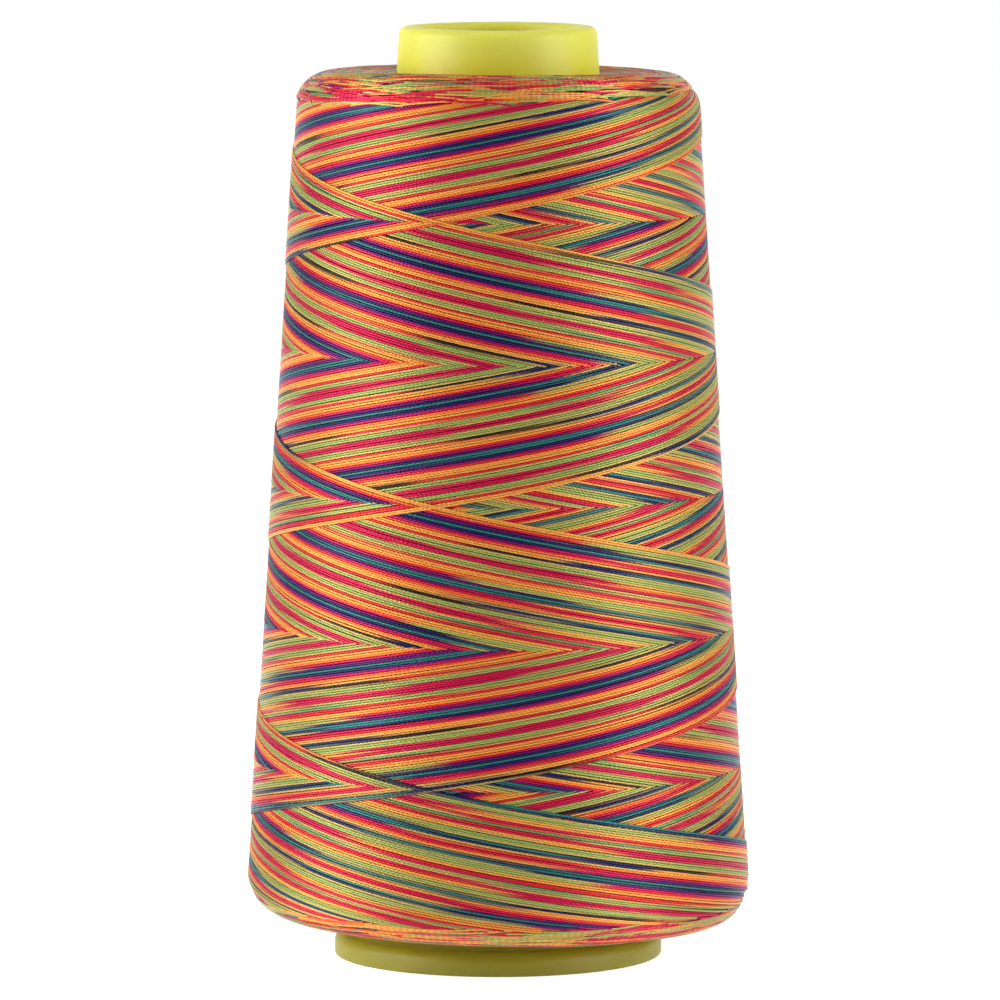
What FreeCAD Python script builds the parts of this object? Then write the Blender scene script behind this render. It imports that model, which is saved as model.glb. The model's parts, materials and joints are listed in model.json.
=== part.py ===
import FreeCAD, Part
import math
import os

import Sketcher

# A cone of serger thread: a hollow moulded cone with the thread cross-wound on it.
# The frame has +Z up along the cone's axis and its origin at the centre of the base.

# Driving sizes, in millimetres, degrees or counts
SIZES = {
    # Moulded cone
    "overall_height": 115.0,
    "cone_taper": 3.5,
    "cone_wall": 1.5,
    "nose_bore_radius": 9.5,
    "nose_bore_length": 6.0,
    "nose_lip": 1.5,
    "nose_lead_angle": 45.0,
    "rim_chamfer": 0.45,
    "ring_step": 1.3,
    "ring_height": 3.2,
    "ring_edge_chamfer": 0.4,
    # Wound thread package
    "pack_start": 5.0,
    "pack_length": 104.1,
    "pack_base_radius": 31.87,
    "pack_taper": 3.75,
    "pack_bottom_round": 4.6,
    "pack_top_round": 3.5,
    "pack_seat_gap": 0.1,
    # Outer layer of thread
    "thread_diameter": 0.28,
    "thread_sides": 3,
    "thread_seat_gap": 0.06,
    "crossing_gap": 0.48,
    "winding_passes": 5,
    "turns_per_cycle": 5.6667,
    "reversal_turns": 0.2,
    "reversal_bottom_margin": 5.6,
    "reversal_top_margin": 4.6,
    "end_bend_radius": 0.45,
    "end_seat_gap": 0.03,
}

# Longest step between the helix's nodes, in turns, and the spacing of the points that measure the gap
HELIX_STEP_TURNS = 0.25
GAP_POINT_SPACING = 0.25

# Directions of a shoulder's corner points, in degrees from the side to the end face
SHOULDER_ANGLES = (0, 30, 60, 90)

# Outside radius of the cone's wall, drawn down to the base, and of the package under the outer layer
CONE_BASE = (
    "(sizes.nose_bore_radius + sizes.nose_lip + sizes.cone_wall"
    " + tan(sizes.cone_taper) * (sizes.overall_height - sizes.nose_bore_length))"
)
CORE_BASE = "(sizes.pack_base_radius - sizes.thread_seat_gap - 2 * sizes.thread_diameter - sizes.crossing_gap)"


def make_sheet(doc):
    """Put every driving size into a spreadsheet cell with an alias."""
    sheet = doc.addObject("Spreadsheet::Sheet", "sizes")
    for row, (alias, value) in enumerate(SIZES.items(), start=1):
        sheet.set(f"A{row}", alias)
        sheet.set(f"B{row}", str(value))
        sheet.setAlias(f"B{row}", alias)
    doc.recompute()
    return sheet


def read_sizes(sheet):
    """Return the sheet's numbers by alias."""
    return {alias: float(sheet.get(alias)) for alias in SIZES}


def cone_radius(size, height):
    """Outside radius of the cone's wall at a height."""
    slope = math.tan(math.radians(size["cone_taper"]))
    bore_end = size["overall_height"] - size["nose_bore_length"]
    return size["nose_bore_radius"] + size["nose_lip"] + size["cone_wall"] + slope * (bore_end - height)


def layer_height(size):
    """Height of the outer layer of crossing thread over the plain package."""
    return size["thread_seat_gap"] + 2 * size["thread_diameter"] + size["crossing_gap"]


def core_radius(size, height):
    """Radius of the plain package under the outer layer, at a height."""
    slope = math.tan(math.radians(size["pack_taper"]))
    return size["pack_base_radius"] - layer_height(size) - slope * height


# Sketch helpers


def new_body(doc, label):
    body = doc.addObject("PartDesign::Body", label)
    body.Label = label
    body.Placement = FreeCAD.Placement()
    return body


def profile_sketch(body, name, corners):
    """Draw a closed profile in the XZ plane: X is the radius and Y the height."""
    sketch = body.newObject("Sketcher::SketchObject", name)
    plane = next(item for item in body.Origin.OriginFeatures if item.Role == "XZ_Plane")
    sketch.AttachmentSupport = [(plane, "")]
    sketch.MapMode = "FlatFace"
    points = [FreeCAD.Vector(radius, height, 0) for radius, height in corners]
    count = len(points)
    for index in range(count):
        sketch.addGeometry(Part.LineSegment(points[index], points[(index + 1) % count]))
    for index in range(count):
        sketch.addConstraint(Sketcher.Constraint("Coincident", index, 2, (index + 1) % count, 1))
    return sketch


def dimension(sketch, name, constraint, expression):
    """Add a named dimension and bind it to the sheet."""
    index = sketch.addConstraint(constraint)
    sketch.renameConstraint(index, name)
    sketch.setExpression(f"Constraints.{name}", expression)


def radius_of(sketch, name, line, value, expression):
    """Hold the start of a line at a radius from the axis."""
    dimension(sketch, name, Sketcher.Constraint("DistanceX", -1, 1, line, 1, value), expression)


def height_of(sketch, name, line, value, expression):
    """Hold the start of a line at a height above the base."""
    dimension(sketch, name, Sketcher.Constraint("DistanceY", -1, 1, line, 1, value), expression)


def slope_of(sketch, name, line, degrees, expression):
    """Hold the direction of a line, as an angle from the radius."""
    dimension(sketch, name, Sketcher.Constraint("Angle", line, math.radians(degrees)), expression)


def revolve(body, sketch, name):
    """Turn a profile round the vertical axis."""
    feature = body.newObject("PartDesign::Revolution", name)
    feature.Profile = sketch
    feature.ReferenceAxis = (sketch, ["V_Axis"])
    feature.Angle = 360
    body.Document.recompute()
    return feature


def ring_edge(shape, radius, height):
    """Name the circular edge that is nearest to a radius and height."""
    best = None
    for index, edge in enumerate(shape.Edges, start=1):
        if not isinstance(edge.Curve, Part.Circle):
            continue
        miss = abs(edge.Curve.Radius - radius) + abs(edge.Curve.Center.z - height)
        if best is None or miss < best[0]:
            best = (miss, f"Edge{index}")
    return best[1]


def break_edge(body, base, name, radius, height, alias):
    """Chamfer a circular edge of the feature before by a size in the sheet."""
    feature = body.newObject("PartDesign::Chamfer", name)
    feature.Base = (base, [ring_edge(base.Shape, radius, height)])
    feature.setExpression("Size", f"sizes.{alias}")
    body.Document.recompute()
    return feature


# Moulded cone: base ring, tapered wall, nose with broken edges and a plain bore in the nose


def build_cone(doc, size):
    body = new_body(doc, "cone_core")
    top = size["overall_height"]
    bore = size["nose_bore_radius"]
    bore_end = top - size["nose_bore_length"]
    base_inner = cone_radius(size, 0) - size["cone_wall"]
    wall_at_ring = cone_radius(size, size["ring_height"])
    ring_radius = wall_at_ring + size["ring_step"]
    sketch = profile_sketch(body, "cone_profile", [
        (base_inner, 0),
        (ring_radius, 0),
        (ring_radius, size["ring_height"]),
        (wall_at_ring, size["ring_height"]),
        (cone_radius(size, top), top),
        (bore, top),
        (bore, bore_end),
        (bore + size["nose_lip"], bore_end - size["nose_lip"]),
    ])
    for line in (0, 2, 4):
        sketch.addConstraint(Sketcher.Constraint("Horizontal", line))
    for line in (1, 5):
        sketch.addConstraint(Sketcher.Constraint("Vertical", line))
    sketch.addConstraint(Sketcher.Constraint("PointOnObject", 0, 1, -1))
    ring_wall = f"{CONE_BASE} - tan(sizes.cone_taper) * sizes.ring_height"
    radius_of(sketch, "base_inner_radius", 0, base_inner, f"{CONE_BASE} - sizes.cone_wall")
    radius_of(sketch, "ring_radius", 1, ring_radius, f"{ring_wall} + sizes.ring_step")
    height_of(sketch, "ring_height", 2, size["ring_height"], "sizes.ring_height")
    radius_of(sketch, "wall_at_ring", 3, wall_at_ring, ring_wall)
    slope_of(sketch, "outer_taper", 3, 90 + size["cone_taper"], "90 deg + sizes.cone_taper * 1 deg")
    height_of(sketch, "overall_height", 4, top, "sizes.overall_height")
    radius_of(sketch, "nose_bore_radius", 5, bore, "sizes.nose_bore_radius")
    height_of(sketch, "nose_bore_end", 6, bore_end, "sizes.overall_height - sizes.nose_bore_length")
    slope_of(sketch, "nose_lead", 6, -size["nose_lead_angle"], "-sizes.nose_lead_angle * 1 deg")
    slope_of(sketch, "inner_taper", 7, size["cone_taper"] - 90, "sizes.cone_taper * 1 deg - 90 deg")
    wall = revolve(body, sketch, "cone_wall")
    ring = break_edge(body, wall, "ring_edge", ring_radius, size["ring_height"], "ring_edge_chamfer")
    break_edge(body, ring, "rim_edge", cone_radius(size, top), top, "rim_chamfer")
    return body


# Wound thread under the outer layer: a plain tapered mass whose shoulders turn in three flats


def shoulder(round_size, radius, height, end):
    """Corner points of a shoulder from its side to its end face; end is -1 below and 1 above."""
    points = []
    for degrees in SHOULDER_ANGLES:
        angle = math.radians(degrees)
        points.append((radius - round_size * (1 - math.cos(angle)), height + end * round_size * math.sin(angle)))
    return points


def hold_shoulder(sketch, name, lines, round_alias, radius, height, end):
    """Tie a shoulder's corner points, at the starts of lines, to its size in the sheet."""
    for line, degrees in zip(lines, SHOULDER_ANGLES):
        inward = f"({radius}) - sizes.{round_alias} * (1 - cos({degrees} deg))"
        along = f"({height}) {end} sizes.{round_alias} * sin({degrees} deg)"
        start = sketch.Geometry[line].StartPoint
        radius_of(sketch, f"{name}_radius_{degrees}", line, start.x, inward)
        height_of(sketch, f"{name}_height_{degrees}", line, start.y, along)


def build_pack(doc, size):
    body = new_body(doc, "thread_pack")
    bottom = size["pack_start"]
    top = bottom + size["pack_length"]
    low_side = bottom + size["pack_bottom_round"]
    high_side = top - size["pack_top_round"]
    gap = size["pack_seat_gap"]
    lower = shoulder(size["pack_bottom_round"], core_radius(size, low_side), low_side, -1)
    upper = shoulder(size["pack_top_round"], core_radius(size, high_side), high_side, 1)
    seat = [(cone_radius(size, top) + gap, top), (cone_radius(size, bottom) + gap, bottom)]
    sketch = profile_sketch(body, "pack_profile", lower[::-1] + upper + seat)
    low_height = "sizes.pack_start + sizes.pack_bottom_round"
    high_height = "sizes.pack_start + sizes.pack_length - sizes.pack_top_round"
    hold_shoulder(sketch, "bottom", [3, 2, 1, 0], "pack_bottom_round",
                  f"{CORE_BASE} - tan(sizes.pack_taper) * ({low_height})", low_height, "-")
    hold_shoulder(sketch, "top", [4, 5, 6, 7], "pack_top_round",
                  f"{CORE_BASE} - tan(sizes.pack_taper) * ({high_height})", high_height, "+")
    sketch.addConstraint(Sketcher.Constraint("Horizontal", 7))
    sketch.addConstraint(Sketcher.Constraint("Horizontal", 9))
    slope_of(sketch, "seat_taper", 8, size["cone_taper"] - 90, "sizes.cone_taper * 1 deg - 90 deg")
    radius_of(sketch, "seat_radius", 9, cone_radius(size, bottom) + gap,
              f"{CONE_BASE} + sizes.pack_seat_gap - tan(sizes.cone_taper) * sizes.pack_start")
    revolve(body, sketch, "wound_mass")
    return body


# Outer layer: one thread that falls and rises round the package in crossing helices


def smooth_step(value):
    value = min(max(value, 0.0), 1.0)
    return value * value * (3 - 2 * value)


def traverse_share(size, turns):
    """Share of a traverse that is done, with an even turn-round at both ends."""
    length = size["turns_per_cycle"] / 2
    dwell = size["reversal_turns"]
    speed = 1 / (length - dwell / 2)
    if turns < dwell / 2:
        return speed * turns * turns / dwell
    if turns > length - dwell / 2:
        return 1 - speed * (length - turns) ** 2 / dwell
    return speed * (turns - dwell / 4)


def thread_point(size, turns):
    """Centre of the thread after a number of turns from the top of its first fall."""
    length = size["turns_per_cycle"] / 2
    index = min(int(turns / length), int(size["winding_passes"]) - 1)
    local = turns - index * length
    low = size["pack_start"] + size["reversal_bottom_margin"]
    high = size["pack_start"] + size["pack_length"] - size["reversal_top_margin"]
    share = traverse_share(size, local)
    # A falling pass lies over the rising ones and changes level beside the turn-rounds.
    if index % 2 == 0:
        height = high - (high - low) * share
        level = 1.0
    else:
        height = low + (high - low) * share
        half_dwell = size["reversal_turns"] / 2
        level = 1 - smooth_step(local / half_dwell) + smooth_step((local - length) / half_dwell + 1)
    inner = size["thread_seat_gap"] + size["thread_diameter"] / 2
    lift = inner + level * (size["thread_diameter"] + size["crossing_gap"])
    radius = core_radius(size, height) + lift
    angle = 2 * math.pi * turns
    return FreeCAD.Vector(radius * math.sin(angle), -radius * math.cos(angle), height)


def thread_direction(size, turns):
    """Unit direction of the thread, square to the axis where a pass turns round."""
    last = size["winding_passes"] * size["turns_per_cycle"] / 2
    step = 1e-4
    before = max(turns - step, 0.0)
    after = min(turns + step, last)
    if turns <= 0 or turns >= last:
        angle = 2 * math.pi * turns
        return FreeCAD.Vector(math.cos(angle), math.sin(angle), 0)
    return (thread_point(size, after) - thread_point(size, before)).normalize()


def node_turns(size):
    """Turn counts of the path's nodes: one step into and out of a turn-round, quarter turns between."""
    length = size["turns_per_cycle"] / 2
    half_dwell = size["reversal_turns"] / 2
    straight = length - 2 * half_dwell
    steps = math.ceil(straight / HELIX_STEP_TURNS)
    offsets = [0.0] + [half_dwell + straight * step / steps for step in range(steps + 1)]
    passes = int(size["winding_passes"])
    return [index * length + offset for index in range(passes) for offset in offsets] + [passes * length]


def arc_from(start, direction, end):
    """Arc that leaves a point in a direction and ends at another point."""
    chord = end - start
    along = direction.dot(chord) / chord.Length
    bulge = direction - chord * (along / chord.Length)
    if bulge.Length < 1e-9:
        return Part.LineSegment(start, end)
    half_turn = math.atan2(bulge.Length, along)
    middle = (start + end) * 0.5 + bulge.normalize() * (chord.Length / 2 * math.tan(half_turn / 2))
    return Part.Arc(start, middle, end)


def biarc(start, start_direction, end, end_direction):
    """Two arcs that join two points and keep the direction at both."""
    chord = end - start
    total = start_direction + end_direction
    square = 2 * (1 - start_direction.dot(end_direction))
    lean = chord.dot(total)
    reach = (math.sqrt(lean * lean + square * chord.dot(chord)) - lean) / square
    joint = (start + end + (start_direction - end_direction) * reach) * 0.5
    first = arc_from(start, start_direction, joint)
    second = arc_from(end, end_direction * -1, joint)
    return [first, second]


def thread_end(size, point, direction, angle):
    """Straight end and bend that bring the thread square onto the package, from the seat outwards."""
    taper = math.radians(size["pack_taper"])
    outward = FreeCAD.Vector(math.sin(angle) * math.cos(taper), -math.cos(angle) * math.cos(taper),
                             math.sin(taper))
    bend = size["end_bend_radius"]
    lift = size["thread_seat_gap"] + 1.5 * size["thread_diameter"] + size["crossing_gap"]
    seat_depth = lift * math.cos(taper) - size["end_seat_gap"]
    corner = point - direction * bend
    bend_start = corner - outward * bend
    seat = corner - outward * seat_depth
    return [Part.LineSegment(seat, bend_start), arc_from(bend_start, outward, point)]


def thread_path(size):
    """Curves of the whole thread in order, from its first seat to its last."""
    turns = node_turns(size)
    points = [thread_point(size, value) for value in turns]
    directions = [thread_direction(size, value) for value in turns]
    curves = thread_end(size, points[0], directions[0], 2 * math.pi * turns[0])
    for index in range(len(turns) - 1):
        curves += biarc(points[index], directions[index], points[index + 1], directions[index + 1])
    curves += reversed(thread_end(size, points[-1], directions[-1] * -1, 2 * math.pi * turns[-1]))
    return curves


def thread_section(size, centre, direction):
    """Faceted section of the thread, square to its direction."""
    sides = int(size["thread_sides"])
    radius = size["thread_diameter"] / 2
    across = direction.cross(FreeCAD.Vector(0, 0, 1)).normalize()
    other = direction.cross(across).normalize()
    corners = []
    for index in range(sides + 1):
        angle = 2 * math.pi * (index % sides) / sides
        corners.append(centre + across * (radius * math.cos(angle)) + other * (radius * math.sin(angle)))
    return Part.makePolygon(corners)


def least_gap(size, path):
    """Least gap of the thread to itself, on points along its whole path."""
    count = int(path.Length / GAP_POINT_SPACING)
    points = path.discretize(Number=count)
    spacing = path.Length / (count - 1)
    apart = int(math.pi * size["pack_base_radius"] / 8 / spacing)
    cell = 2.0
    cells = {}
    for index, point in enumerate(points):
        key = (math.floor(point.x / cell), math.floor(point.y / cell), math.floor(point.z / cell))
        cells.setdefault(key, []).append(index)
    reach = [(dx, dy, dz) for dx in (-1, 0, 1) for dy in (-1, 0, 1) for dz in (-1, 0, 1)]
    least = float("inf")
    for key, members in cells.items():
        near = []
        for step in reach:
            near += cells.get((key[0] + step[0], key[1] + step[1], key[2] + step[2]), [])
        for first in members:
            for second in near:
                if second - first > apart:
                    least = min(least, points[first].distanceToPoint(points[second]))
    return least - size["thread_diameter"]


def build_winding(doc, size):
    curves = thread_path(size)
    path = Part.Wire([curve.toShape() for curve in curves])
    start = path.Vertexes[0].Point
    section = thread_section(size, start, (curves[0].EndPoint - curves[0].StartPoint).normalize())
    pipe = Part.BRepOffsetAPI.MakePipeShell(path)
    pipe.add(section)
    pipe.build()
    pipe.makeSolid()
    feature = doc.addObject("Part::Feature", "outer_winding")
    feature.Label = "outer_winding"
    feature.Shape = pipe.shape()
    feature.Placement = FreeCAD.Placement()
    expected = Part.Face(section).Area * path.Length
    radii = [edge.Curve.Radius for edge in path.Edges if isinstance(edge.Curve, Part.Circle)]
    loops = size["winding_passes"] * size["turns_per_cycle"] / 2
    print(f"thread length {path.Length:.1f} mm in {loops:.2f} loops, smallest bend {min(radii):.2f} mm")
    print(f"volume {feature.Shape.Volume:.3f} mm3, section times length {expected:.3f} mm3")
    print(f"least gap of the thread to itself {least_gap(size, path):.3f} mm")
    return feature


def check_document(doc, pieces):
    """Stop if any object failed or any piece has no valid solid."""
    for item in doc.Objects:
        if "Invalid" in item.State or "Error" in item.State:
            raise RuntimeError(f"{item.Label} failed: {item.State}")
    for piece in pieces:
        shape = piece.Shape
        if shape.isNull() or not shape.isValid() or len(shape.Solids) != 1:
            raise RuntimeError(f"{piece.Label} is not one valid solid")
        print(f"{piece.Label}: {shape.Volume / 1000:.3f} cm3, {len(shape.Faces)} faces")


def main():
    doc = FreeCAD.newDocument("thread_cone")
    size = read_sizes(make_sheet(doc))
    pieces = [build_cone(doc, size), build_pack(doc, size), build_winding(doc, size)]
    doc.recompute()
    check_document(doc, pieces)
    os.makedirs("parts", exist_ok=True)
    for piece in pieces:
        piece.Shape.exportStep(f"parts/{piece.Label}.step")


main()
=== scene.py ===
import json
import math

import bmesh
import bpy
from bpy.props import FloatProperty, FloatVectorProperty, IntProperty, PointerProperty
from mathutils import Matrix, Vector

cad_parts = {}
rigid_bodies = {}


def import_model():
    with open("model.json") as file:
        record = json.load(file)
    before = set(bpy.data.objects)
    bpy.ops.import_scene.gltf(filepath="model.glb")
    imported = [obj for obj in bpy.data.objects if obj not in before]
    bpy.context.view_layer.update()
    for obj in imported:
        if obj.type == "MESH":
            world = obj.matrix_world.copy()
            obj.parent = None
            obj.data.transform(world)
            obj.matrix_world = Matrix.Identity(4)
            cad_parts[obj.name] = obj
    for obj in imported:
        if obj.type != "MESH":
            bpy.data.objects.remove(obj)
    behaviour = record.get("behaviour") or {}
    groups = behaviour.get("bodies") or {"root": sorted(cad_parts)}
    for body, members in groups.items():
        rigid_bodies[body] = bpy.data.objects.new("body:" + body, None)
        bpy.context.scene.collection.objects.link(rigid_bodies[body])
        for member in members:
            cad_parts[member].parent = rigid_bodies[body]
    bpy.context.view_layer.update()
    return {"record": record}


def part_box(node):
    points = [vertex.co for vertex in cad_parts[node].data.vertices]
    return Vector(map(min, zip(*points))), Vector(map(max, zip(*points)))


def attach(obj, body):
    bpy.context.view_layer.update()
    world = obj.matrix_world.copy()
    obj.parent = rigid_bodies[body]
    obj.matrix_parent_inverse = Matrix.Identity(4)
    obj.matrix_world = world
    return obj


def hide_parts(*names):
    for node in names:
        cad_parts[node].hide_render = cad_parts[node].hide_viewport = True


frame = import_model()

bl_info = {
    "name": "Thread cone",
    "version": (1, 0, 0),
    "blender": (4, 5, 0),
    "location": "3D View > Sidebar > Thread Cone",
    "description": "Winds a cone of variegated sewing thread, thread by thread, round a packed part",
    "category": "Add Mesh",
}

CONE_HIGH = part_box("cone_core")[1]
PACK_LOW, PACK_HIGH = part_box("thread_pack")
BORE = next(m for m in frame["record"]["mounts"] if m["name"] == "nose_bore")

MM = 0.001
TURN = 2 * math.pi


# Sizes and colours

def whole_number(name, description, default):
    return IntProperty(name=name, description=description, default=default)


def signed_share(name, description, default):
    return FloatProperty(name=name, description=description, default=default, min=-0.5, max=0.5)


def length(name, description, default):
    return FloatProperty(name=name, description=description, default=default, min=0.0,
                         unit="LENGTH", precision=5)


def angle(name, description, degrees):
    return FloatProperty(name=name, description=description, default=math.radians(degrees), subtype="ANGLE")


def dye(name, description, red, green, blue):
    return FloatVectorProperty(name=name, description=description, subtype="COLOR_GAMMA", size=3,
                               default=(red / 255, green / 255, blue / 255), min=0.0, max=1.0)


class PackageSizes(bpy.types.PropertyGroup):
    """Outline of the wound package, and how the thread is laid on it"""
    base_radius: length("Base radius", "Radius of the package's side, drawn down to the base", 31.95 * MM)
    taper: angle("Taper", "Half angle of the package's side", 3.75)
    bottom: length("Bottom", "Height of the package's lower face", PACK_LOW.z)
    top: length("Top", "Height of the package's upper face", PACK_HIGH.z)
    bottom_round: length("Bottom rounding", "Radius of the lower shoulder", 4.95 * MM)
    top_round: length("Top rounding", "Radius of the upper shoulder", 4.2 * MM)
    passes: whole_number("Passes", "Passes of the thread side by side round the package", 120)
    pitch: length("Pitch", "Rise of the thread in one turn", 34.25 * MM)
    crossing_height: length("Crossing height", "Height where the two latest passes cross in front", 92.6 * MM)
    crossing_angle: angle("Crossing angle", "Where those passes cross, from the front", -13.5)
    thread: length("Thread", "Thickness of the thread", 0.30 * MM)
    layer: length("Layer", "Thickness that one layer of thread adds", 0.19 * MM)
    round_lean: signed_share("Round lean", "How much rounder the shoulders are on the left", 0.04)
    row_tilt: length("Row tilt", "How much lower the winding lies on the right than in front", 0.33 * MM)
    seed: whole_number("Seed", "Start of the small irregularities", 7)


class ConeSizes(bpy.types.PropertyGroup):
    """Outline of the moulded cone"""
    height: length("Height", "Height of the cone", CONE_HIGH.z)
    ring_radius: length("Ring radius", "Radius of the base ring", CONE_HIGH.x)
    ring_height: length("Ring height", "Height of the base ring", 3.2 * MM)
    taper: angle("Taper", "Half angle of the wall", 3.5)
    wall: length("Wall", "Thickness of the wall", 1.5 * MM)
    bore_radius: length("Nose bore", "Radius of the opening in the nose", BORE["dims"]["r_mm"] * MM)
    bore_length: length("Bore length", "Length of the opening in the nose", BORE["dims"]["length_mm"] * MM)
    lip: length("Lip", "Step from the opening to the inside of the wall", 1.5 * MM)
    base_edge: length("Base edge", "Rounding inside the wall, at the base", 0.5 * MM)
    ring_low_edge: length("Lower ring edge", "Rounding of the ring's lower edge", 0.3 * MM)
    ring_high_edge: length("Upper ring edge", "Rounding of the ring's upper edge", 1.6 * MM)
    ring_corner: length("Ring corner", "Rounding between the ring and the wall", 0.5 * MM)
    rim_outer_edge: length("Outer rim edge", "Rounding outside the rim of the nose", 0.9 * MM)
    rim_inner_edge: length("Inner rim edge", "Rounding inside the rim of the nose", 0.6 * MM)
    bore_edge: length("Bore edge", "Rounding at the lower end of the opening", 0.4 * MM)
    lip_corner: length("Lip corner", "Rounding between the lip and the wall", 0.8 * MM)


class EndSizes(bpy.types.PropertyGroup):
    """Turns of thread that show at both ends of the package"""
    ring_spacing: length("Ring spacing", "Distance from one ring of turns to the next", 0.225 * MM)
    heap: length("Heap", "How high the turns are heaped over the shoulder", 0.24 * MM)
    heap_lean: length("Heap lean", "How much higher that is on the right than in front", 0.18 * MM)
    front_heap: length("Front heap", "How much higher the upper turns are heaped in front", 0.9 * MM)
    start_lean: length("Start lean", "How much lower the upper turns start on the left", 1.0 * MM)
    upper_start: length("Upper start", "From the side's upper end to the first ring", 2.2 * MM)
    upper_reach: length("Upper reach", "From the first upper ring to the last", 12.4 * MM)
    lower_start: length("Lower start", "From the side's lower end to the first ring", 3.6 * MM)
    lower_reach: length("Lower reach", "From the first lower ring to the last", 11.3 * MM)


class Colours(bpy.types.PropertyGroup):
    """Dyes of the thread, and the plastic with painted light at the rim of the nose and painted shade at the
    base ring
    """
    teal: dye("Teal", "Middle of the dye repeat", 40, 124, 116)
    green: dye("Green", "Where the teal runs into the lime", 104, 158, 98)
    navy: dye("Navy", "Beside the teal", 18, 20, 82)
    purple: dye("Purple", "Between navy and magenta", 98, 0, 102)
    magenta: dye("Magenta", "Between purple and red", 206, 4, 98)
    red: dye("Red", "Edge of the orange, and single lines", 222, 28, 44)
    orange: dye("Orange", "Broad orange stretch", 252, 120, 44)
    amber: dye("Amber", "Lighter end of the orange", 245, 168, 73)
    black: dye("Black", "Single dark line beside the lime", 20, 12, 20)
    lime: dye("Lime", "Broad green stretch", 156, 176, 90)
    straw: dye("Straw", "Yellower end of the green", 208, 178, 97)
    crimson: dye("Crimson", "Far end of the dye repeat", 206, 2, 72)
    # Painted light: the plastic is painted paler at the rim of the nose, where light comes through it; below,
    # the deep plastic is its own saturated yellow
    plastic: dye("Plastic", "Translucent moulding, at the rim of the nose", 212, 211, 90)
    deep_plastic: dye("Deep plastic", "The same further down, where the wall is thicker", 216, 210, 22)
    # Painted shade: the base ring is painted darker, as if shaded by the package above it
    shaded_ring_plastic: dye("Shaded ring plastic", "The same at the base ring, where no light passes", 160, 156, 40)


class ThreadConeSettings(bpy.types.PropertyGroup):
    """All that a user of the thread cone may change"""
    package: PointerProperty(type=PackageSizes)
    ends: PointerProperty(type=EndSizes)
    cone: PointerProperty(type=ConeSizes)
    colours: PointerProperty(type=Colours)


# Node trees

# Rim left free at each side of a thread's lane in the map for baking, as a share of the lane
BAKE_MARGIN = 0.12

# Round a thread, only the face that closes the ring has a corner numbered further than this below its mean
CLOSING_STEP = 0.75

# Sides of a thread
THREAD_SIDES = 6


class Field:
    """A value in a node tree. Arithmetic on it adds the nodes that work it out."""

    def __init__(self, graph, socket):
        self.graph = graph
        self.socket = socket

    def __add__(self, other):
        return self.graph.math("ADD", self, other)

    def __radd__(self, other):
        return self.graph.math("ADD", other, self)

    def __sub__(self, other):
        return self.graph.math("SUBTRACT", self, other)

    def __rsub__(self, other):
        return self.graph.math("SUBTRACT", other, self)

    def __mul__(self, other):
        return self.graph.math("MULTIPLY", self, other)

    def __rmul__(self, other):
        return self.graph.math("MULTIPLY", other, self)

    def __truediv__(self, other):
        return self.graph.math("DIVIDE", self, other)

    def __gt__(self, other):
        return self.graph.math("GREATER_THAN", self, other)

    def __lt__(self, other):
        return self.graph.math("LESS_THAN", self, other)


class Graph:
    """Adds nodes to a tree and joins them."""

    def __init__(self, tree):
        self.tree = tree

    def node(self, kind, inputs=None, **settings):
        """A new node with its settings made and its inputs fed"""
        made = self.tree.nodes.new(kind)
        for name, value in settings.items():
            setattr(made, name, value)
        for name, value in (inputs or {}).items():
            self.feed(made.inputs[name], value)
        return made

    def feed(self, socket, value):
        """Joins a field or another socket to a socket, or sets its value"""
        if isinstance(value, Field):
            self.tree.links.new(value.socket, socket)
        elif isinstance(value, bpy.types.NodeSocket):
            self.tree.links.new(value, socket)
        else:
            socket.default_value = value

    def math(self, operation, *values):
        made = self.node("ShaderNodeMath", operation=operation)
        for socket, value in zip(made.inputs, values):
            self.feed(socket, value)
        return Field(self, made.outputs[0])

    def pick(self, test, yes, no):
        """yes where test is 1, and no where it is 0"""
        return no + test * (yes - no)

    def smooth(self, value, low, high):
        """0 up to low, 1 from high, and an even curve between them"""
        made = self.node("ShaderNodeMapRange", {"Value": value, "From Min": low, "From Max": high},
                         interpolation_type="SMOOTHSTEP")
        return Field(self, made.outputs[0])

    def vector(self, x, y, z=0.0):
        return self.node("ShaderNodeCombineXYZ", {"X": x, "Y": y, "Z": z}).outputs[0]

    def mix(self, share, first, second, blend="MIX"):
        """From first to second, or to first blended with second, as share goes from 0 to 1"""
        made = self.node("ShaderNodeMix", data_type="RGBA", blend_type=blend)
        for slot, value in ((0, share), (6, first), (7, second)):
            self.feed(made.inputs[slot], value)
        return made.outputs[2]


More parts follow.
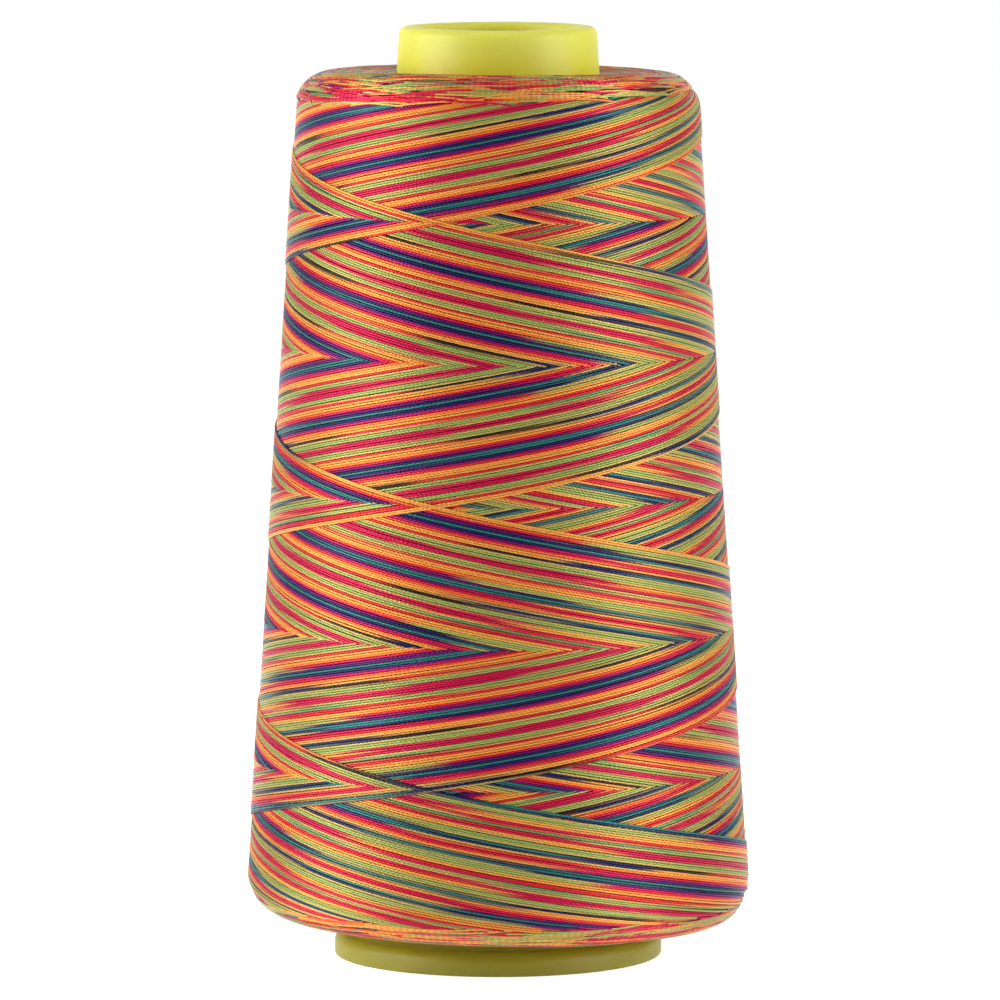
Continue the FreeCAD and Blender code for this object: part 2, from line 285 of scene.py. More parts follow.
class GeometryGraph(Graph):
    """A Geometry Nodes tree with named inputs"""

    def __init__(self, name, numbers):
        super().__init__(bpy.data.node_groups.new(name, "GeometryNodeTree"))
        self.ids = {}
        face = self.tree.interface
        face.new_socket("Geometry", in_out="OUTPUT", socket_type="NodeSocketGeometry")
        for label, value in numbers.items():
            kind = "NodeSocketInt" if isinstance(value, int) else "NodeSocketFloat"
            socket = face.new_socket(label, in_out="INPUT", socket_type=kind)
            socket.default_value = value
            self.ids[label] = socket.identifier
        socket = face.new_socket("Material", in_out="INPUT", socket_type="NodeSocketMaterial")
        self.ids["Material"] = socket.identifier
        self.source = self.tree.nodes.new("NodeGroupInput")
        self.numbers = numbers

    def __getitem__(self, label):
        return Field(self, self.source.outputs[label])

    def random(self, key, low, high, seed):
        """A random number from low to high for each key"""
        made = self.node("FunctionNodeRandomValue", data_type="FLOAT")
        self.feed(made.inputs[2], low)
        self.feed(made.inputs[3], high)
        self.feed(made.inputs["ID"], key)
        self.feed(made.inputs["Seed"], seed)
        return Field(self, made.outputs[1])

    def stored(self, name, kind="FLOAT"):
        made = self.node("GeometryNodeInputNamedAttribute", {"Name": name}, data_type=kind)
        return Field(self, made.outputs["Attribute"])

    def store(self, geometry, name, value, kind="FLOAT", domain="POINT"):
        inputs = {"Geometry": geometry, "Name": name, "Value": value}
        return self.node("GeometryNodeStoreNamedAttribute", inputs, data_type=kind, domain=domain).outputs[0]

    def strands(self, count, points):
        """As many straight lines as count says, numbered in run, each with a number of points"""
        index = self.node("GeometryNodeInputIndex").outputs[0]
        row = self.node("GeometryNodeMeshLine", {"Count": count}).outputs[0]
        row = self.store(row, "run", index, "INT")
        line = self.node("GeometryNodeCurvePrimitiveLine").outputs[0]
        laid = self.node("GeometryNodeInstanceOnPoints", {"Points": row, "Instance": line}).outputs[0]
        lines = self.node("GeometryNodeRealizeInstances", {"Geometry": laid}).outputs[0]
        even = self.node("GeometryNodeResampleCurve", {"Curve": lines, "Count": points}, mode="COUNT")
        return even.outputs[0]

    def on_package(self, along, turn, depth):
        """Place and outward way of a point, from its height on the side drawn on, angle and depth"""
        sine, cosine = self.math("SINE", turn), self.math("COSINE", turn)
        tilt = self["Taper"]
        rise = self.math("SINE", tilt)
        rounder = 1.0 - self["Round Lean"] * sine
        top_round, bottom_round = self["Top Round"] * rounder, self["Bottom Round"] * rounder
        high = self["Top"] - top_round * (1.0 - rise)
        low = self["Bottom"] + bottom_round * (1.0 + rise)
        over = self.math("MAXIMUM", along - high, 0.0)
        under = self.math("MAXIMUM", low - along, 0.0)
        height = self.math("MINIMUM", self.math("MAXIMUM", along, low), high)
        bend = self.pick(over > 0.0, top_round, bottom_round)
        lean = tilt + over / top_round - under / bottom_round
        lean = self.math("MINIMUM", self.math("MAXIMUM", lean, -math.pi / 2), math.pi / 2)
        top_length = (math.pi / 2 - tilt) * top_round
        bottom_length = (math.pi / 2 + tilt) * bottom_round
        flat = self.math("MAXIMUM", over - top_length, 0.0) + self.math("MAXIMUM", under - bottom_length, 0.0)
        across, up = self.math("COSINE", lean), self.math("SINE", lean)
        radius = self["Base Radius"] - height * self.math("TANGENT", tilt)
        radius = radius + bend * (across - self.math("COSINE", tilt)) - depth * across - flat
        height = height + bend * (up - rise) - depth * up - self["Row Tilt"] * sine
        place = self.vector(radius * sine, 0.0 - radius * cosine, height)
        outward = self.vector(across * sine, 0.0 - across * cosine, up)
        return place, outward

    def tube(self, curve, outward, strand_along, bake_along, bake_slot, bake_slots):
        """Threads along the lines, with a map for the twist and one for baking"""
        facing = self.node("GeometryNodeSetCurveNormal", {"Curve": curve, "Normal": outward}, mode="FREE")
        held = self.node("GeometryNodeCaptureAttribute", {"Geometry": facing.outputs[0]}, domain="POINT")
        for name, value in (("Along", strand_along), ("Bake along", bake_along), ("Slot", bake_slot)):
            held.capture_items.new("FLOAT", name)
            self.feed(held.inputs[name], value)
        profile = {"Resolution": self["Sides"], "Radius": self["Thread"] / 2.0}
        ring = self.node("GeometryNodeCurvePrimitiveCircle", profile, mode="RADIUS")
        corner = self.node("GeometryNodeCaptureAttribute", {"Geometry": ring.outputs[0]}, domain="POINT")
        corner.capture_items.new("FLOAT", "Corner")
        self.feed(corner.inputs["Corner"], self.node("GeometryNodeInputIndex").outputs[0])
        swept = {"Curve": held.outputs[0], "Profile Curve": corner.outputs[0], "Fill Caps": True}
        mesh = self.node("GeometryNodeCurveToMesh", swept).outputs[0]
        index = Field(self, corner.outputs["Corner"])
        middle = self.node("GeometryNodeFieldOnDomain", {"Value": index}, data_type="FLOAT", domain="FACE")
        closing = (Field(self, middle.outputs[0]) - index) > CLOSING_STEP
        around = self.pick(closing, self["Sides"], index) / self["Sides"]
        strand = self.vector(held.outputs["Along"], around)
        mesh = self.store(mesh, "Strand", strand, "FLOAT2", "CORNER")
        lane = Field(self, held.outputs["Slot"]) + BAKE_MARGIN + (1.0 - 2.0 * BAKE_MARGIN) * around
        bake = self.vector(held.outputs["Bake along"], lane / bake_slots)
        return self.store(mesh, "OFBake", bake, "FLOAT2", "CORNER")

    def end(self, geometry):
        """Close the tree"""
        geometry = self.node("GeometryNodeSetShadeSmooth", {"Geometry": geometry}).outputs[0]
        geometry = self.node("GeometryNodeRealizeInstances", {"Geometry": geometry}).outputs[0]
        inputs = {"Geometry": geometry, "Material": self.source.outputs["Material"]}
        geometry = self.node("GeometryNodeSetMaterial", inputs).outputs[0]
        out = self.tree.nodes.new("NodeGroupOutput")
        self.tree.links.new(geometry, out.inputs[0])

    def piece(self, name, material, changes):
        """A plain mesh of what the tree makes with some of its numbers changed"""
        holder = bpy.data.objects.new(name + "_tree", bpy.data.meshes.new(name + "_tree"))
        bpy.context.scene.collection.objects.link(holder)
        modifier = holder.modifiers.new("Winding", "NODES")
        modifier.node_group = self.tree
        for label, value in {**self.numbers, **changes}.items():
            modifier[self.ids[label]] = value
        modifier[self.ids["Material"]] = material
        graph = bpy.context.evaluated_depsgraph_get()
        mesh = bpy.data.meshes.new_from_object(holder.evaluated_get(graph))
        mesh.name = name
        bpy.data.objects.remove(holder)
        made = bpy.data.objects.new(name, mesh)
        bpy.context.scene.collection.objects.link(made)
        return made


def package_numbers(package):
    """Sizes that every tree of the winding reads"""
    return {
        "Base Radius": package.base_radius,
        "Taper": package.taper,
        "Bottom": package.bottom,
        "Top": package.top,
        "Bottom Round": package.bottom_round,
        "Top Round": package.top_round,
        "Round Lean": package.round_lean,
        "Row Tilt": package.row_tilt,
        "Thread": package.thread,
        "Sides": THREAD_SIDES,
        "Seed": package.seed,
    }


# Rows at which rising and falling threads meet, in turns from the crossing in front
TOP_TURN, BOTTOM_TURN = 0.5, -2.5
MIDDLE_TURN = (TOP_TURN + BOTTOM_TURN) / 2

# Rows that one piece fills, and points of a thread in its dip at a row
ROWS_IN_PIECE, DIP_POINTS = 3, 5

# In turns: how close to an end row a row counts as that row, and half the way over which a thread dips
SAME_ROW, DIP_HALF = 0.1, 0.003

# In turns: overlap under the latest pass, start and end of the dip, and from one point to the next before it
HIDDEN_START, DIP_START, DIP_END, POINT_SPACING = 0.012, 0.005, 0.010, 0.0145

# In turns: how far the thread runs on over the upper and the lower shoulder, and how gently it turns back
TOP_OVERRUN, BOTTOM_OVERRUN, REVERSAL = 0.031, 0.083, 0.045

# In turns from the middle: where the shoulders begin and are full. Then how far they even out the layers
SHOULDER_START, SHOULDER_FULL, SHOULDER_EVENS = 1.36, 1.47, 0.8

# How uneven the winding is: places of the passes, in passes, and where they turn back, in turns
PASS_JITTER, TURN_JITTER = 0.11, 0.014

# Height of a thread's waves along the side, and the fewest and most of them in one turn
WAVE_HEIGHT, FEWEST_WAVES, MOST_WAVES = 0.02 * MM, 1.5, 4.0

# How uneven the threads' depth at the shoulders is, and their dyes, in repeats and in trades
HEAP_JITTER, DYE_JITTER, TRADE_JITTER = 0.3 * MM, 0.005, 0.04

# In turns: the longest run of a pass that shows, and room to spare in the map for baking
LONGEST_RUN, BAKE_SPARE = 0.5, 0.02

# Thread in one turn, about, in metres
THREAD_PER_TURN = 0.18

# Threads to one dye repeat and to half of it, and repeats that go by in one turn
DYE_THREADS = 24.3
HALF_REPEAT = DYE_THREADS / 2
DYE_DRIFT = 0.12

# Along the thread the teal trades places with the dark line beside it: thread from one trade to the next,
# threads between the two lines, and trades that go by with each repeat across the passes
TRADE_LENGTH, TRADE_THREADS, TRADE_DRIFT = 81.0 * MM, 7.2, 0.09

# For rising and falling threads: phase of the repeat in front, and degrees at which its sides are alike
DYE_PLACES = {1: (0.292, -30.0), -1: (0.794, -17.0)}

# For rising and falling threads: the first of every other row that each of two pieces fills
FIRST_ROWS = {1: (TOP_TURN, 0.0), -1: (0.0, -0.5)}


def winding_tree(package):
    """Passes of the outer layer, each from where it comes out under the latest one to where it meets a row"""
    tree = GeometryGraph("winding", {
        **package_numbers(package),
        "Passes": package.passes,
        "Pitch": package.pitch,
        "Crossing Height": package.crossing_height,
        "Crossing Angle": package.crossing_angle,
        "Layer": package.layer,
        "Direction": 1.0,
        "First Row": TOP_TURN,
        "Dye Phase": 0.0,
        "Dye Middle": 0.0,
        "Dye Threads": DYE_THREADS,
    })

    # Row and pass of a thread, how much of it shows, and the row that it meets
    run = tree.stored("run", "INT")
    passes, way = tree["Passes"], tree["Direction"]
    row = tree.math("FLOOR", run / passes)
    number = run - row * passes
    age = (number + 0.5 + tree.random(run, -PASS_JITTER, PASS_JITTER, tree["Seed"])) / passes
    shown = (1.0 - age) / 2.0
    meeting = tree["First Row"] - row
    at_top, at_bottom = meeting > TOP_TURN - SAME_ROW, meeting < BOTTOM_TURN + SAME_ROW
    over = at_top * TOP_OVERRUN + at_bottom * BOTTOM_OVERRUN
    dip_start = DIP_START - over
    plain = tree.math("CEIL", (shown + HIDDEN_START - dip_start) / POINT_SPACING)
    curve = tree.strands(passes * ROWS_IN_PIECE, plain + DIP_POINTS)

    # Turns from a point to that row, and the point's angle
    point = Field(tree, tree.node("GeometryNodeSplineParameter").outputs["Index"])
    start = shown + HIDDEN_START
    open_stretch = start + (dip_start - start) * point / plain
    in_dip = dip_start - (DIP_START + DIP_END) * (point - plain) / (DIP_POINTS - 1.0)
    before = tree.pick(point > plain, in_dip, open_stretch)
    turns = meeting - way * before
    turn = tree["Crossing Angle"] - TURN * (age - way * turns)

    # Height along the side, softened where the thread turns back
    uneven = tree.random(run, -TURN_JITTER, TURN_JITTER, tree["Seed"] + 6)
    low = turns - (BOTTOM_TURN - BOTTOM_OVERRUN + uneven)
    soft = turns - low + tree.math("SQRT", low * low + REVERSAL * REVERSAL)
    high = TOP_TURN + TOP_OVERRUN + uneven - soft
    soft = soft + high - tree.math("SQRT", high * high + REVERSAL * REVERSAL)
    waves = tree.random(run, FEWEST_WAVES, MOST_WAVES, tree["Seed"] + 1)
    first_wave = tree.random(run, 0.0, TURN, tree["Seed"] + 2)
    wander = tree.math("SINE", turn * waves + first_wave)
    along = tree["Crossing Height"] + tree["Pitch"] * soft + wander * WAVE_HEIGHT

    # Depth, from the age of the pass and of the one that it crosses here
    other = age + 2.0 * tree.math("MAXIMUM", before, 0.0)
    dip = tree.smooth(before + over, DIP_HALF, -DIP_HALF)
    shoulder = tree.smooth(tree.math("ABSOLUTE", soft - MIDDLE_TURN), SHOULDER_START, SHOULDER_FULL)
    heap = shoulder * tree.random(run, 0.0, HEAP_JITTER, tree["Seed"] + 3)
    layers = (age + other) * (1.0 - SHOULDER_EVENS * shoulder) + dip
    depth = tree["Thread"] / 2.0 + tree["Layer"] * layers + heap
    place, outward = tree.on_package(along, turn, depth)

    # Place in the dye repeat, and the trades up to here
    lap = turn / TURN
    across = (age * passes) / tree["Dye Threads"]
    repeat = across - tree["Dye Phase"] + DYE_DRIFT * lap
    repeat = repeat + tree.random(run, -DYE_JITTER, DYE_JITTER, tree["Seed"] + 4)
    halfway_up = tree["Crossing Height"] + tree["Pitch"] * (turns - way * lap / 2.0)
    mean_radius = tree["Base Radius"] - tree.math("TANGENT", tree["Taper"]) * halfway_up
    trades = (turn - tree["Dye Middle"]) * mean_radius / TRADE_LENGTH + TRADE_DRIFT * (across - 1.0)
    trades = trades + tree.random(run, -TRADE_JITTER, TRADE_JITTER, tree["Seed"] + 7)

    # Place in the map for baking, where a long run shares its lane with a short one
    half = passes / 2.0
    long_run = number < half
    width = LONGEST_RUN + 2.0 * (HIDDEN_START + DIP_END + BOTTOM_OVERRUN) + BAKE_SPARE
    bake_along = tree.pick(long_run, (start - before) / width, 1.0 - (before + DIP_END + over) / width)
    slot = row * half + tree.pick(long_run, number, passes - 1.0 - number)

    curve = tree.store(curve, "dye", repeat)
    curve = tree.store(curve, "trades", trades)
    curve = tree.store(curve, "shade", tree.random(run, 0.0, 1.0, tree["Seed"] + 5))
    curve = tree.node("GeometryNodeSetPosition", {"Geometry": curve, "Position": place}).outputs[0]
    tree.end(tree.tube(curve, outward, before * THREAD_PER_TURN, bake_along, slot, half * ROWS_IN_PIECE))
    return tree


# Arcs in a ring of end turns, points on an arc, and rings that share their places and dyes
END_ARCS, ARC_POINTS, PATCH_RINGS = 32, 6, 4

# In radians: half the angle of an arc, least and most, and the angle from one group of rings to the next
SHORT_ARC, LONG_ARC, GROUP_STEP = 0.15, 0.27, 2.4

# How uneven the end turns lie: patches and arcs round a ring, in arcs, and patches across the rings, in rings
PATCH_JITTER, ARC_JITTER, ACROSS_JITTER = 0.2, 0.5, 0.9

# In rings: how far a patch may slant, and the least and most that the ends of an arc bow outwards
SLANT, LEAST_BOW, MOST_BOW = 1.2, 0.4, 1.4

# How much deeper a patch may lie, and how much deeper the ends of an arc do
PATCH_DEPTH, ARC_END_DEPTH = 0.08 * MM, 0.12 * MM

# Inwards from the first ring: where the heap begins, is full, starts to sink and ends
HEAP_BEGIN, HEAP_FULL, HEAP_SINK, HEAP_END = -0.8 * MM, 2.6 * MM, 3.6 * MM, 8.7 * MM

# Inwards from the first ring: where the lean of the start ends
LEAN_END = 6.0 * MM

# Where in the dye repeat a patch may start, lowest and highest, and rings to one thread's step in it
LOW_DYE, HIGH_DYE, RINGS_TO_STEP = 0.06, 0.44, 1.6

# Arcs in a lane of the map for baking, and half the share that an arc fills of its place there
ARCS_IN_LANE, LANE_HALF = 4.0, 0.48

# Mean radius of the end turns, and what is added to the seed for the upper and the lower ones
END_RADIUS, UPPER_SEED, LOWER_SEED = 20.0 * MM, 11, 29


def end_turns_tree(package, ends):
    """Short bends where layer after layer turned back, laid ring by ring from the shoulder inwards"""
    tree = GeometryGraph("end_turns", {
        **package_numbers(package),
        "Rings": int(ends.upper_reach / ends.ring_spacing),
        "Ring Spacing": ends.ring_spacing,
        "Start": package.top,
        "Start Lean": 0.0,
        "Direction": 1.0,
        "Heap": ends.heap,
        "Heap Lean": ends.heap_lean,
        "Front Heap": 0.0,
    })

    # Ring, group of rings and patch that an arc belongs to
    run = tree.stored("run", "INT")
    ring = tree.math("FLOOR", run / END_ARCS)
    number = run - ring * END_ARCS
    group = tree.math("FLOOR", ring / PATCH_RINGS)
    patch = group * END_ARCS + number
    curve = tree.strands(tree["Rings"] * END_ARCS, ARC_POINTS)

    # Angle of a point
    point = Field(tree, tree.node("GeometryNodeSplineParameter").outputs["Index"])
    seed = tree["Seed"]
    share_along = point / (ARC_POINTS - 1.0) * 2.0 - 1.0
    bow = share_along * share_along
    half = tree.random(run, SHORT_ARC, LONG_ARC, seed)
    place_in_ring = number + tree.random(patch, -PATCH_JITTER, PATCH_JITTER, seed + 1)
    place_in_ring = place_in_ring + tree.random(run, -ARC_JITTER, ARC_JITTER, seed + 8)
    middle = place_in_ring * (TURN / END_ARCS) + group * GROUP_STEP
    turn = middle + share_along * half

    # Distance from the first ring, height along the side, and depth under the skin
    inward = ring + tree.random(patch, -ACROSS_JITTER, ACROSS_JITTER, seed + 2)
    inward = inward + share_along * tree.random(patch, -SLANT, SLANT, seed + 3)
    inward = inward - bow * tree.random(run, LEAST_BOW, MOST_BOW, seed + 9)
    inward = inward * tree["Ring Spacing"]
    lean = tree["Start Lean"] * tree.math("SINE", turn) * tree.smooth(inward, LEAN_END, 0.0)
    along = tree["Start"] + lean + tree["Direction"] * inward
    front = tree["Front Heap"] * tree.smooth(tree.math("COSINE", turn), 0.0, 1.0)
    heap = tree["Heap"] + tree["Heap Lean"] * tree.math("SINE", turn) + front
    heap = tree.smooth(inward, HEAP_BEGIN, HEAP_FULL) * tree.smooth(inward, HEAP_END, HEAP_SINK) * heap
    deeper = tree.random(patch, 0.0, PATCH_DEPTH, seed + 4) + bow * bow * ARC_END_DEPTH
    depth = tree["Thread"] / 2.0 - heap + deeper
    place, outward = tree.on_package(along, turn, depth)

    # Dyes, each patch at any stage of a trade
    repeat = tree.random(patch, LOW_DYE, HIGH_DYE, seed + 5)
    repeat = repeat + (ring - group * PATCH_RINGS) / (RINGS_TO_STEP * DYE_THREADS)
    repeat = repeat + share_along * half * DYE_DRIFT / TURN
    curve = tree.store(curve, "dye", repeat)
    curve = tree.store(curve, "trades", tree.random(patch, -0.5, 0.5, seed + 7))
    curve = tree.store(curve, "shade", tree.random(run, 0.0, 1.0, seed + 6))
    curve = tree.node("GeometryNodeSetPosition", {"Geometry": curve, "Position": place}).outputs[0]

    # Place in the map for baking
    slot = tree.math("FLOOR", run / ARCS_IN_LANE)
    column = run - slot * ARCS_IN_LANE
    bake_along = (column + 0.5 + share_along * LANE_HALF) / ARCS_IN_LANE
    slots = tree["Rings"] * END_ARCS / ARCS_IN_LANE
    tree.end(tree.tube(curve, outward, turn * END_RADIUS, bake_along, slot, slots))
    return tree


# Materials

def linear(colour):
    """A colour as the nodes take it, from one as it is written, by the sRGB curve"""
    return [part / 12.92 if part <= 0.04045 else ((part + 0.055) / 1.055) ** 2.4 for part in colour] + [1.0]


def new_material(name, values):
    """A material, its nodes, and its shader with some values set"""
    material = bpy.data.materials.new(name)
    material.use_nodes = True
    material.node_tree.nodes.clear()
    nodes = Graph(material.node_tree)
    shader = nodes.node("ShaderNodeBsdfPrincipled", values)
    nodes.node("ShaderNodeOutputMaterial", {"Surface": shader.outputs[0]})
    return material, nodes, shader


def middle_dyes(colours):
    """Dyes from the teal to half a repeat away, in threads, where both sides of the teal are alike"""
    return (
        (0.0, 0.6, colours.teal),
        (0.8, 1.3, colours.navy),
        (1.5, 2.4, colours.purple),
        (2.65, 3.2, colours.magenta),
        (3.4, 3.5, colours.red),
        (3.9, 4.2, colours.orange),
        (4.7, 6.4, colours.amber),
        (6.75, 7.4, colours.red),
        (7.9, 8.3, colours.straw),
        (8.8, 9.8, colours.lime),
        (10.15, 10.15, colours.straw),
        (10.5, HALF_REPEAT, colours.crimson),
    )


def turning_dyes(colours, line, crimson_start):
    """The same where the sides begin to differ, in the line beside the green and where the crimson starts"""
    return (
        (0.0, 0.6, colours.teal),
        (0.8, 1.3, colours.navy),
        (1.5, 2.3, colours.purple),
        (2.55, 3.2, colours.crimson),
        (3.45, 3.55, colours.red),
        (4.0, 4.3, colours.orange),
        (4.8, 6.3, colours.amber),
        (6.75, 7.6, line),
        (8.0, 8.4, colours.straw),
        (8.9, 10.2, colours.lime),
        (10.6, 10.6, colours.straw),
        (crimson_start, HALF_REPEAT, colours.crimson),
    )


def fuller_dyes(colours):
    """Dyes on the side of the teal that has run on"""
    return (
        (0.0, 0.55, colours.teal),
        (1.0, 1.0, colours.navy),
        (1.45, 1.45, colours.purple),
        (1.75, 3.25, colours.crimson),
        (3.5, 3.6, colours.red),
        (4.0, 4.6, colours.orange),
        (5.2, 5.5, colours.straw),
        (6.2, 7.4, colours.navy),
        (8.0, 8.5, colours.straw),
        (9.1, 10.2, colours.lime),
        (10.6, 10.6, colours.straw),
        (11.0, HALF_REPEAT, colours.crimson),
    )


def thinner_dyes(colours):
    """Dyes on the side that has run together"""
    return (
        (0.0, 0.55, colours.teal),
        (0.8, 1.7, colours.navy),
        (2.3, 2.3, colours.straw),
        (2.8, 3.3, colours.lime),
        (4.1, 5.9, colours.amber),
        (6.4, 7.6, colours.red),
        (8.2, 9.2, colours.green),
        (9.7, 10.1, colours.straw),
        (10.6, 10.6, colours.red),
        (11.0, HALF_REPEAT, colours.crimson),
    )


def line_dyes(colours):
    """Dyes from the teal past the dark line beside it, where the two are about to trade places"""
    return (
        (0.0, 0.3, colours.teal),
        (0.55, 0.7, colours.navy),
        (1.3, 1.5, colours.straw),
        (1.9, 2.2, colours.amber),
        (2.7, 2.9, colours.red),
        (3.2, 4.0, colours.crimson),
        (4.3, 4.5, colours.red),
        (5.0, 5.3, colours.amber),
        (5.7, 5.9, colours.straw),
        (6.5, 6.65, colours.navy),
        (6.9, 7.5, colours.teal),
        (7.75, 7.9, colours.navy),
        (8.5, 8.9, colours.straw),
        (9.5, 11.0, colours.lime),
        (11.5, HALF_REPEAT, colours.amber),
    )


def open_dyes(colours):
    """The same on the other side of the teal"""
    return (
        (0.0, 0.3, colours.teal),
        (0.55, 0.7, colours.navy),
        (1.3, 1.8, colours.straw),
        (2.3, 3.6, colours.lime),
        (4.1, 4.6, colours.straw),
        (5.1, 5.6, colours.amber),
        (6.1, 6.3, colours.red),
        (6.6, 7.2, colours.crimson),
        (7.5, 7.5, colours.red),
        (7.9, 8.0, colours.straw),
        (8.35, 8.75, colours.green),
        (9.1, 9.2, colours.straw),
        (9.6, 9.6, colours.red),
        (9.9, 10.5, colours.crimson),
        (10.8, 11.0, colours.red),
        (11.5, HALF_REPEAT, colours.amber),
    )


def dye_ramp(graph, place, dyes):
    """Colour at a place that goes from 0 to 1, from the first of the dyes to the last"""
    ramp = graph.node("ShaderNodeValToRGB", {"Fac": place})
    whole = dyes[-1][1]
    ends = [(edge / whole, linear(colour)) for low, high, colour in dyes for edge in sorted({low, high})]
    elements = ramp.color_ramp.elements
    elements[0].position, elements[0].color = ends[0]
    elements[1].position, elements[1].color = ends[-1]
    for position, colour in ends[1:-1]:
        elements.new(position).color = colour
    return ramp.outputs[0]


# How far a trade has gone, from 0 to 1, where each set of dyes begins to take over and where it has
TURNING, SHIFTED, TRADING = (0.22, 0.40), (0.62, 0.76), (0.86, 0.97)

# Where the crimson starts on the two sides while they begin to differ, in threads from the teal
THIN_CRIMSON, FULL_CRIMSON = 11.0, 11.3

# Plies of the thread and length of their twist, and how fine the fibres are along the thread and round it
PLIES, PLY_TWIST, FIBRES_ALONG, FIBRES_AROUND = 2.0, 0.58 * MM, 900.0, 9.0

# How far the fibres blur the trades and the dye
TRADE_BLUR, DYE_BLUR = 0.06, 0.012

# Share of the dye that shows in the painted shade between the plies, and what the painted light on their
# crests, a thread's own random shade and fibres add
PLY_GROOVE_SHADE, CREST_LIGHT, SHADE_SHARE, FIBRE_SHARE = 0.66, 0.28, 0.10, 0.24

# Shares of plies and fibres in the relief, and the least roughness of the thread and what fibres add
PLY_RELIEF, FIBRE_RELIEF, THREAD_ROUGHNESS, FIBRE_ROUGHNESS = 0.7, 0.5, 0.30, 0.16


def thread_material(colours):
    """Space-dyed spun polyester: dye along the thread, two plies twisted together with painted shade between
    them, a soft lustre
    """
    material, nodes, shader = new_material("variegated_thread", {"Metallic": 0.4, "Specular IOR Level": 0.4})
    strand = nodes.node("ShaderNodeUVMap", uv_map="Strand").outputs[0]
    parts = nodes.node("ShaderNodeSeparateXYZ", {"Vector": strand})
    along, around = Field(nodes, parts.outputs[0]), Field(nodes, parts.outputs[1])
    plies = nodes.math("SINE", (around * PLIES + along / PLY_TWIST) * TURN)
    ply_height = plies * 0.5 + 0.5
    spread = nodes.vector(along * FIBRES_ALONG, around * FIBRES_AROUND)
    grain = {"Vector": spread, "Scale": 2.2, "Detail": 3.0}
    fibres = Field(nodes, nodes.node("ShaderNodeTexNoise", grain, noise_dimensions="2D").outputs[0])

    def attribute(name):
        """A value stored on the threads"""
        return Field(nodes, nodes.node("ShaderNodeAttribute", attribute_name=name).outputs["Fac"])

    trades = attribute("trades") + (fibres - 0.5) * TRADE_BLUR
    traded = nodes.math("FLOOR", trades + 0.5)
    side = nodes.math("SINE", (trades - traded) * math.pi)
    repeat = attribute("dye") - traded * (TRADE_THREADS / DYE_THREADS) + (fibres - 0.5) * DYE_BLUR
    from_teal = nodes.math("FRACT", repeat + 0.5) - 0.5
    place = nodes.math("ABSOLUTE", from_teal) * 2.0
    fuller = (from_teal * side) > 0.0

    def both_sides(thin, full):
        """Dyes on the thinner and on the fuller side of the teal"""
        return nodes.mix(fuller, dye_ramp(nodes, place, thin), dye_ramp(nodes, place, full))

    turning = both_sides(turning_dyes(colours, colours.red, THIN_CRIMSON),
                         turning_dyes(colours, colours.black, FULL_CRIMSON))
    shifted = both_sides(thinner_dyes(colours), fuller_dyes(colours))
    trading = both_sides(open_dyes(colours), line_dyes(colours))
    away = nodes.math("ABSOLUTE", side)
    dyed = nodes.mix(nodes.smooth(away, *TURNING), dye_ramp(nodes, place, middle_dyes(colours)), turning)
    dyed = nodes.mix(nodes.smooth(away, *SHIFTED), dyed, shifted)
    dyed = nodes.mix(nodes.smooth(away, *TRADING), dyed, trading)

    # Painted shade in the grooves between the plies and painted light on their crests, with each thread's
    # random tone and the fibres, darken the dye
    light = PLY_GROOVE_SHADE + ply_height * CREST_LIGHT + attribute("shade") * SHADE_SHARE
    light = light + (fibres - 0.5) * FIBRE_SHARE
    grey = nodes.node("ShaderNodeCombineColor", {"Red": light, "Green": light, "Blue": light}).outputs[0]
    nodes.feed(shader.inputs["Base Color"], nodes.mix(1.0, dyed, grey, "MULTIPLY"))
    relief = ply_height * PLY_RELIEF + fibres * FIBRE_RELIEF
    bump = nodes.node("ShaderNodeBump", {"Height": relief, "Strength": 0.5, "Distance": 0.05 * MM})
    nodes.feed(shader.inputs["Normal"], bump.outputs[0])
    nodes.feed(shader.inputs["Roughness"], THREAD_ROUGHNESS + fibres * FIBRE_ROUGHNESS)
    return material


# How much of the dyes shows in the shade, and the values of a noise at which each shows alone
SHADED_CRIMSON, SHADED_ORANGE, CRIMSON_END, ORANGE_START = 0.6, 0.7, 0.35, 0.68


def under_material(colours):
    """Older layers in the shade between the outer threads"""
    material, nodes, shader = new_material("thread_in_shade", {"Roughness": 0.9})
    place = nodes.node("ShaderNodeTexCoord").outputs["Object"]
    streak = nodes.node("ShaderNodeTexNoise", {"Vector": place, "Scale": 420.0, "Detail": 3.0})
    ramp = nodes.node("ShaderNodeValToRGB", {"Fac": streak.outputs[0]})
    low, high = ramp.color_ramp.elements
    low.position, low.color = CRIMSON_END, linear([part * SHADED_CRIMSON for part in colours.crimson])
    high.position, high.color = ORANGE_START, linear([part * SHADED_ORANGE for part in colours.orange])
    nodes.feed(shader.inputs["Base Color"], ramp.outputs[0])
    return material


# From the nose down: heights at which the plastic begins to turn from its paler rim, which is painted light,
# to its deep colour and has turned to it
DEEP_START, DEEP_FULL = 114.0 * MM, 107.0 * MM

# The same for the painted shade at the base ring, under the package
RING_SHADE_START, RING_SHADE_FULL = 30.0 * MM, 4.0 * MM

# How far clouds in the plastic shift those heights, and how fine the clouds and the grain of its skin are
CLOUD_SHIFT, CLOUD_SCALE, GRAIN_SCALE = 2.0 * MM, 90.0, 2600.0

# Least roughness of the plastic, and what its grain adds
PLASTIC_ROUGHNESS, GRAIN_ROUGHNESS = 0.40, 0.12


